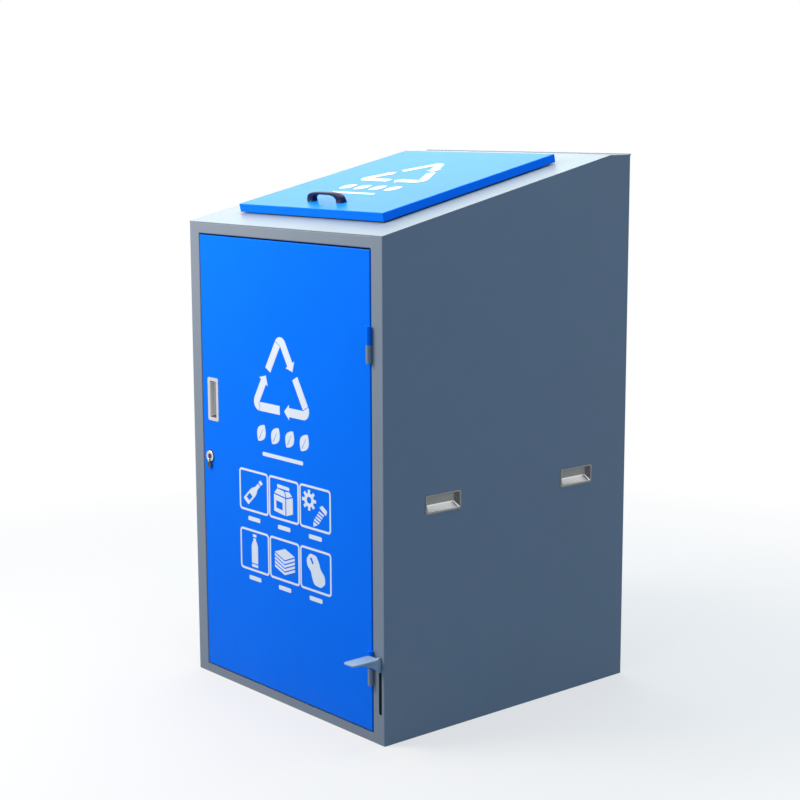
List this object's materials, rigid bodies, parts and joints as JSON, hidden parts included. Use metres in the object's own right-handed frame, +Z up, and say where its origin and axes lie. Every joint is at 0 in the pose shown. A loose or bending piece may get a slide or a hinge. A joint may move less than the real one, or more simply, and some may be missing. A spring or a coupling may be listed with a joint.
{
  "type": "outdoor recycling bin",
  "caption": "Sheet-steel outdoor trash can with a sloped top, a foot-pedal lid that a push rod lifts, a lockable front door and a wheeled bin inside.",
  "frame": {"origin": "centre of the ground anchor holes, on the ground under the middle of the housing", "axes": "+Z up, door towards -Y, pedal and door hinges towards +X"},
  "size_m": [0.7055, 0.826, 1.2348],
  "materials": {
    "grey_paint": "satin powder coat",
    "blue_paint": "gloss powder coat",
    "bare_steel": "zinc plated",
    "bright_metal": "bright plated",
    "black_plastic": "moulded",
    "seal_rubber": "matt",
    "white_nylon": "moulded",
    "bin_plastic": "moulded",
    "tyre_rubber": "moulded",
    "pedal_paint": "satin powder coat"
  },
  "bodies": {
    "housing": {"left_side_panel": "grey_paint", "right_side_panel": "grey_paint", "back_panel": "grey_paint", "top_panel": "grey_paint", "chute_seal": "seal_rubber", "front_top_rail": "grey_paint", "floor_panel": "bare_steel", "door_seal": "seal_rubber", "lid_hinge_rivets": "bare_steel", "pedal_bracket": "bare_steel", "pedal_pivot_pin": "bare_steel", "pedal_pivot_clip": "bare_steel", "bin_body": "bin_plastic", "bin_axle": "bare_steel", "bin_axle_caps": "black_plastic", "door_hinge_pins": "bare_steel", "lid_hinge_pins": "bare_steel", "rod_guides": "bare_steel", "rod_guide_bushes": "white_nylon", "base_rail_front": "grey_paint", "base_rail_rear": "grey_paint", "base_rail_right": "grey_paint", "base_rail_left": "grey_paint", "right_front_pull": "bright_metal", "left_front_pull": "bright_metal", "right_rear_pull": "bright_metal", "left_rear_pull": "bright_metal", "upper_hinge_frame_half": "grey_paint", "lower_hinge_frame_half": "grey_paint", "left_lid_hinge_fixed_leaf": "bare_steel", "right_lid_hinge_fixed_leaf": "bare_steel"},
    "door": {"door_skin": "blue_paint", "door_rib_upper": "blue_paint", "door_rib_lower": "blue_paint", "door_pull": "bright_metal", "upper_hinge_door_half": "blue_paint", "lower_hinge_door_half": "blue_paint", "lock_barrel": "bright_metal", "lock_nut": "bare_steel", "lock_cover_rivet": "bright_metal"},
    "lid": {"lid_skin": "blue_paint", "lid_rib": "blue_paint", "lid_handle": "black_plastic", "lid_handle_screws": "bare_steel", "lid_horn": "bare_steel", "left_lid_hinge_moving_leaf": "bare_steel", "right_lid_hinge_moving_leaf": "bare_steel"},
    "pedal": {"pedal_lever": "pedal_paint", "pedal_foot_plate": "pedal_paint", "pedal_bush": "white_nylon"},
    "push_rod": {"push_rod": "bare_steel", "push_rod_cap": "white_nylon", "push_rod_clevis": "bare_steel", "push_rod_clevis_pin": "bare_steel"},
    "lock_plug": {"lock_plug": "bright_metal", "lock_cam": "bare_steel", "lock_cam_screw": "bare_steel"},
    "dust_cover": {"lock_dust_cover": "bright_metal"},
    "wheel_left": {"bin_wheel_left": "tyre_rubber"},
    "wheel_right": {"bin_wheel_right": "tyre_rubber"}
  },
  "joints": [
    {"name": "door_swing", "type": "hinge", "parent": "housing", "child": "door", "pos_m": [0.3105, -0.375, 0], "axis": [0, 0, 1], "range_deg": [0, 90]},
    {"name": "lid_swing", "type": "hinge", "parent": "housing", "child": "lid", "pos_m": [0, 0.22348, 1.22113], "axis": [-1, 0, 0], "range_deg": [0, 60]},
    {"name": "pedal_press", "type": "hinge", "parent": "housing", "child": "pedal", "pos_m": [0.336, -0.10995, 0.13115], "axis": [1, 0, 0], "range_deg": [0, 20]},
    {"name": "rod_lift", "type": "slide", "parent": "housing", "child": "push_rod", "axis": [0, 0, 1], "range_m": [0, 0.08796]},
    {"name": "lock_turn", "type": "hinge", "parent": "door", "child": "lock_plug", "pos_m": [-0.283, -0.37, 0.534], "axis": [0, 1, 0], "range_deg": [0, 90]},
    {"name": "cover_swing", "type": "hinge", "parent": "door", "child": "dust_cover", "pos_m": [-0.283, -0.37, 0.524], "axis": [0, 1, 0], "range_deg": [0, 180]},
    {"name": "wheel_left_roll", "type": "hinge", "parent": "housing", "child": "wheel_left", "pos_m": [0, 0.158, 0.1118], "axis": [1, 0, 0], "continuous": true},
    {"name": "wheel_right_roll", "type": "hinge", "parent": "housing", "child": "wheel_right", "pos_m": [0, 0.158, 0.1118], "axis": [1, 0, 0], "continuous": true}
  ],
  "couplings": [
    {"joint": "pedal_press", "follows": "lid_swing", "ratio": 0.33333},
    {"joint": "rod_lift", "follows": "lid_swing", "m_per_rad": 0.084}
  ]
}
